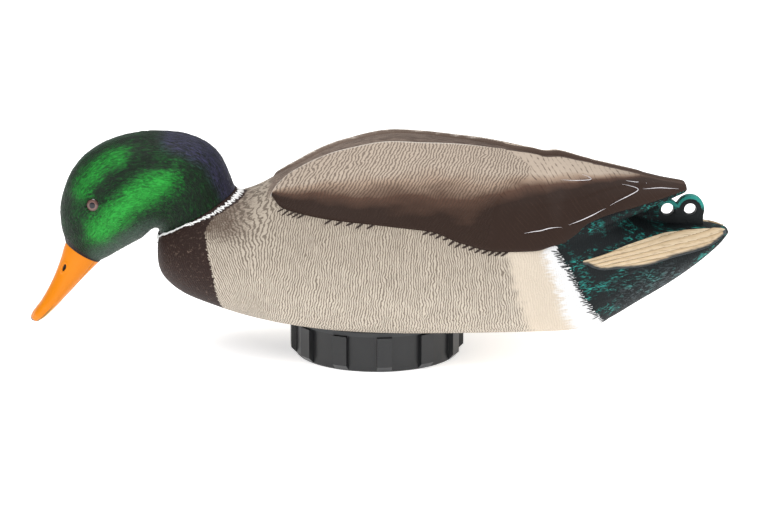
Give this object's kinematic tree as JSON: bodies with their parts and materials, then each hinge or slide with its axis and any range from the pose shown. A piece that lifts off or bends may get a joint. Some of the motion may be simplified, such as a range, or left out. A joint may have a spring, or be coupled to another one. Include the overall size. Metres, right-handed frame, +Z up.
{
  "type": "floating duck decoy",
  "caption": "Hollow floating drake duck decoy with a turnable feeding head, curled tail loops and a screw-capped battery well holding a vibrating ripple unit.",
  "frame": {"origin": "centre of the screw cap's flat bottom face, which the decoy stands on", "axes": "+Z up, -X towards the bill, +X towards the tail, Y across the body"},
  "size_m": [0.5019, 0.1808, 0.1618],
  "materials": {
    "body_skin": "blow-moulded polyethylene with feather relief, sprayed and hand painted in flat colours",
    "head_skin": "blow-moulded polyethylene with feather relief, pearl green paint",
    "bill_plastic": "injection-moulded, orange-yellow paint, satin",
    "eye_glass": "domed clear resin over a brown iris",
    "curl_plastic": "moulded plastic painted black with teal edges",
    "cap_plastic": "injection-moulded black polypropylene, fine spark texture",
    "well_plastic": "injection-moulded black polypropylene",
    "tray_plastic": "injection-moulded grey ABS",
    "seal_rubber": "moulded silicone rubber",
    "steel_screw": "stainless steel",
    "contact_brass": "nickel-plated spring brass",
    "cell_sleeve": null,
    "motor_steel": "zinc-plated drawn steel",
    "rotor_iron": "stacked laminations with copper windings",
    "weight_metal": "turned brass",
    "switch_plastic": "moulded nylon",
    "lead_red": "PVC insulated wire",
    "lead_black": "PVC insulated wire",
    "pivot_plastic": "natural acetal"
  },
  "bodies": {
    "decoy_body": {"body_shell": "body_skin", "tail_curls": "curl_plastic", "battery_well": "well_plastic", "well_gasket": "seal_rubber", "well_screws": "steel_screw"},
    "head": {"head_shell": "head_skin", "bill": "bill_plastic", "left_eye": "eye_glass", "right_eye": "eye_glass", "neck_pivot": "pivot_plastic", "neck_retaining_ring": "steel_screw", "neck_washer": "seal_rubber"},
    "shaker_module": {"motor_tray": "tray_plastic", "tray_cover": "tray_plastic", "cover_screws": "steel_screw", "battery_cells": "cell_sleeve", "lower_contacts": "contact_brass", "upper_contacts": "contact_brass", "motor_can": "motor_steel", "motor_end_cap": "switch_plastic", "motor_screws": "steel_screw", "switch_housing": "switch_plastic", "red_lead": "lead_red", "black_lead": "lead_black"},
    "screw_cap": {"base_cap": "cap_plastic", "cap_seal": "seal_rubber"},
    "off_centre_weight": {"eccentric_weight": "weight_metal", "weight_screw": "steel_screw", "motor_shaft": "motor_steel", "motor_rotor": "rotor_iron"},
    "rocker": {"switch_rocker": "switch_plastic"}
  },
  "joints": [
    {"name": "head_swivel", "type": "hinge", "parent": "decoy_body", "child": "head", "pos_m": [-0.1285, 0, 0.104], "axis": [-0.503, 0, 0.8643], "range_deg": [-60, 60]},
    {"name": "module_drop", "type": "slide", "parent": "decoy_body", "child": "shaker_module", "axis": [0, 0, -1], "range_m": [0, 0.0145]},
    {"name": "cap_turn", "type": "hinge", "parent": "shaker_module", "child": "screw_cap", "pos_m": [0, 0, 0], "axis": [0, 0, -1], "range_deg": [0, 864]},
    {"name": "weight_spin", "type": "hinge", "parent": "shaker_module", "child": "off_centre_weight", "pos_m": [0, 0, 0.08], "axis": [0, 0, 1], "continuous": true},
    {"name": "switch_rock", "type": "hinge", "parent": "shaker_module", "child": "rocker", "pos_m": [0, 0, 0.0145], "axis": [0, 1, 0], "range_deg": [-8, 8]}
  ],
  "couplings": [
    {"joint": "module_drop", "follows": "cap_turn", "m_per_rad": 0.00095493}
  ]
}
